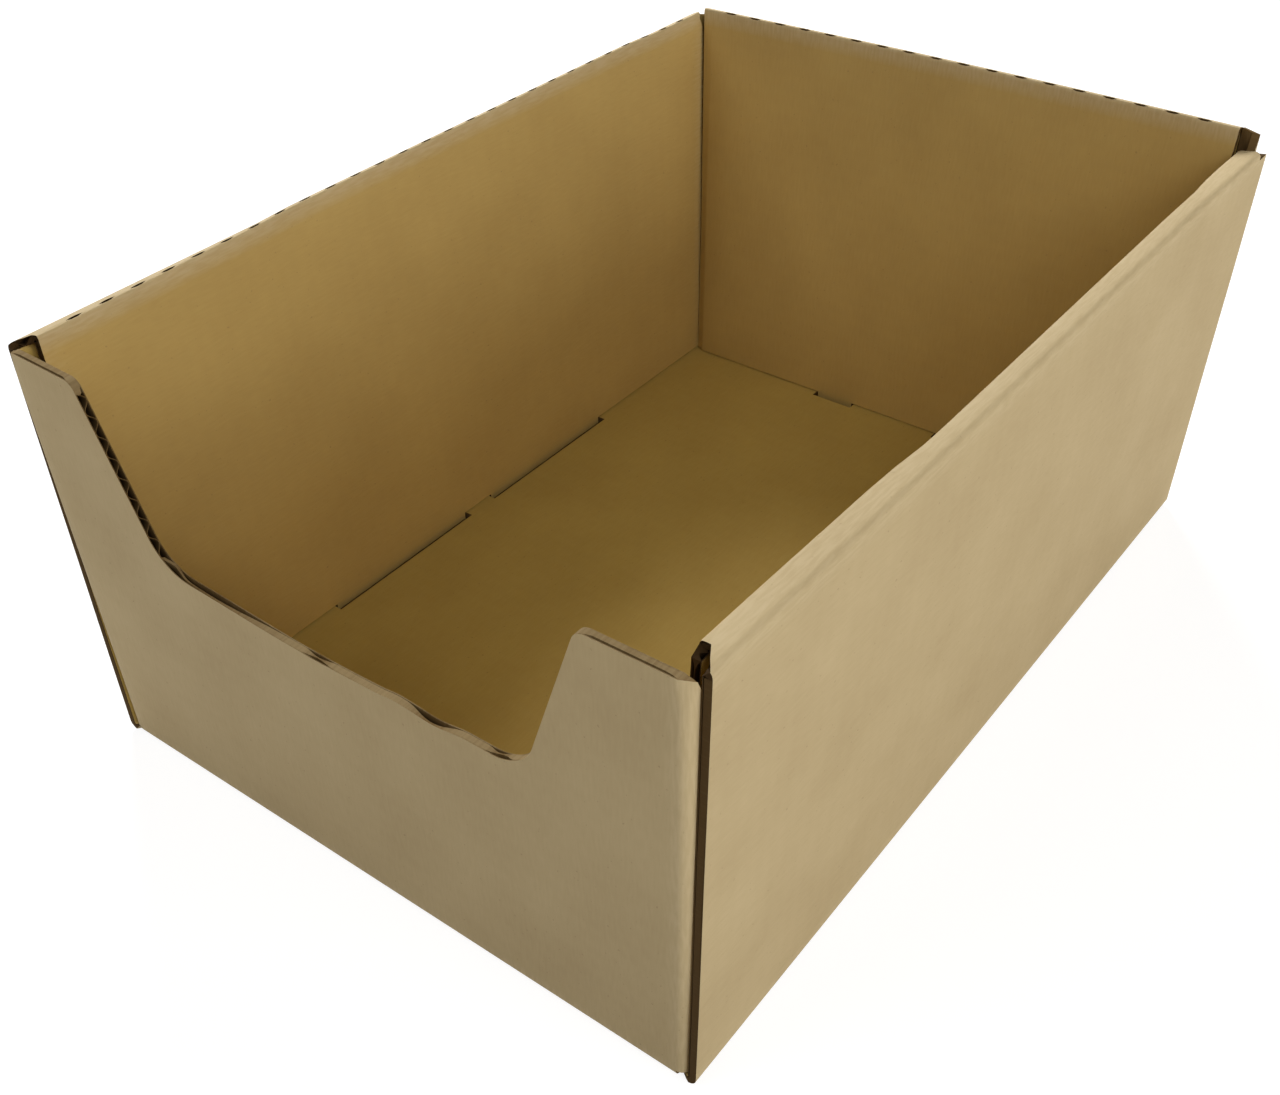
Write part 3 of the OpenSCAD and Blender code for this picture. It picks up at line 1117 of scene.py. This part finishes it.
def make_backdrop_paper():
    """White paper with a faint shadow of the tray. Under the tray it is painted dark brown, as painted shade
    seen through the slots in the tray's floor, and it is clear from below.
    """
    material = bpy.data.materials.new("studio_paper")
    material.use_nodes = True
    tree = material.node_tree
    tree.nodes.remove(tree.nodes["Principled BSDF"])
    paper = tree.nodes.new("ShaderNodeBsdfDiffuse")
    around = outside_footprint(tree)
    feed(tree, paper.inputs["Color"], blend(tree, around, painted_floor_shade, paper_white))
    shade = tree.nodes.new("ShaderNodeBsdfDiffuse")
    shade.inputs["Color"].default_value = shadow_paper
    glow = tree.nodes.new("ShaderNodeEmission")
    surface = tree.nodes.new("ShaderNodeNewGeometry").outputs
    distance = tree.nodes.new("ShaderNodeVectorMath")
    distance.operation = "LENGTH"
    feed(tree, distance.inputs[0], surface["Position"])
    strength = spread(tree, distance.outputs["Value"], near_reach, far_reach, glow_near, glow_far)
    feed(tree, glow.inputs["Strength"], strength)
    seen = tree.nodes.new("ShaderNodeAddShader")
    feed(tree, seen.inputs[0], shade.outputs["BSDF"])
    feed(tree, seen.inputs[1], glow.outputs["Emission"])
    choice = tree.nodes.new("ShaderNodeMixShader")
    feed(tree, choice.inputs[0], sums(tree, "MULTIPLY", seen_as_white(tree), around))
    feed(tree, choice.inputs[1], paper.outputs["BSDF"])
    feed(tree, choice.inputs[2], seen.outputs["Shader"])
    sided = tree.nodes.new("ShaderNodeMixShader")
    feed(tree, sided.inputs[0], surface["Backfacing"])
    feed(tree, sided.inputs[1], choice.outputs["Shader"])
    feed(tree, sided.inputs[2], tree.nodes.new("ShaderNodeBsdfTransparent").outputs["BSDF"])
    feed(tree, tree.nodes["Material Output"].inputs["Surface"], sided.outputs["Shader"])
    return material


def make_floor():
    """The stage's floor, a little below the tray."""
    quarters = ((-1, -1), (1, -1), (1, 1), (-1, 1))
    corners = [(x * floor_reach, y * floor_reach, -floor_sink) for x, y in quarters]
    mesh = bpy.data.meshes.new("floor")
    mesh.from_pydata(corners, [], [(0, 1, 2, 3)])
    mesh.materials.append(make_backdrop_paper())
    plane = bpy.data.objects.new("studio_floor", mesh)
    bpy.context.scene.collection.objects.link(plane)


make_floor()


def soft_box(name, direction, elevation, size, power):
    """A soft light that faces the tray, by the compass direction it stands in and its height angle."""
    turn, rise = math.radians(direction), math.radians(elevation)
    aim = Vector((0, 0, tray_h / 2))
    offset = Vector((math.cos(rise) * math.cos(turn), math.cos(rise) * math.sin(turn), math.sin(rise)))
    light = bpy.data.lights.new(name, "AREA")
    light.shape = "DISK"
    light.size = size
    light.energy = power
    lamp = bpy.data.objects.new(name, light)
    lamp.location = aim + light_distance * offset
    lamp.rotation_mode = "QUATERNION"
    lamp.rotation_quaternion = (-offset).to_track_quat("-Z", "Y")
    bpy.context.scene.collection.objects.link(lamp)


soft_box("right_light", 0, 14, 1, 16)
soft_box("corner_light", -32, 38, 1, 11)
soft_box("front_light", -115, 45, 1, 8)
soft_box("back_light", 137, 34, 1, 46)

world = bpy.data.worlds.new("studio")
world.use_nodes = True
sky_tree = world.node_tree
sky = sky_tree.nodes["Background"].inputs
sky["Color"].default_value = (1, 1, 1, 1)
feed(sky_tree, sky["Strength"], spread(sky_tree, seen_as_white(sky_tree), 0, 1, sky_light, 1))
bpy.context.scene.world = world

# Camera, at the photograph's viewing angle
camera_eye = (0.2495, -0.3678, 0.3683)
camera_turn = (48.489, 1.111, 37.482)
camera_lens = 40.83
camera_shift = (0.0264, 0.0828)

camera_data = bpy.data.cameras.new("camera")
camera_data.lens = camera_lens
camera_data.sensor_width = 36
camera_data.shift_x, camera_data.shift_y = camera_shift
camera_data.clip_start = 0.01
camera = bpy.data.objects.new("camera", camera_data)
camera.location = camera_eye
camera.rotation_euler = [math.radians(a) for a in camera_turn]
bpy.context.scene.collection.objects.link(camera)
bpy.context.scene.camera = camera
bpy.context.scene.view_settings.view_transform = "Standard"
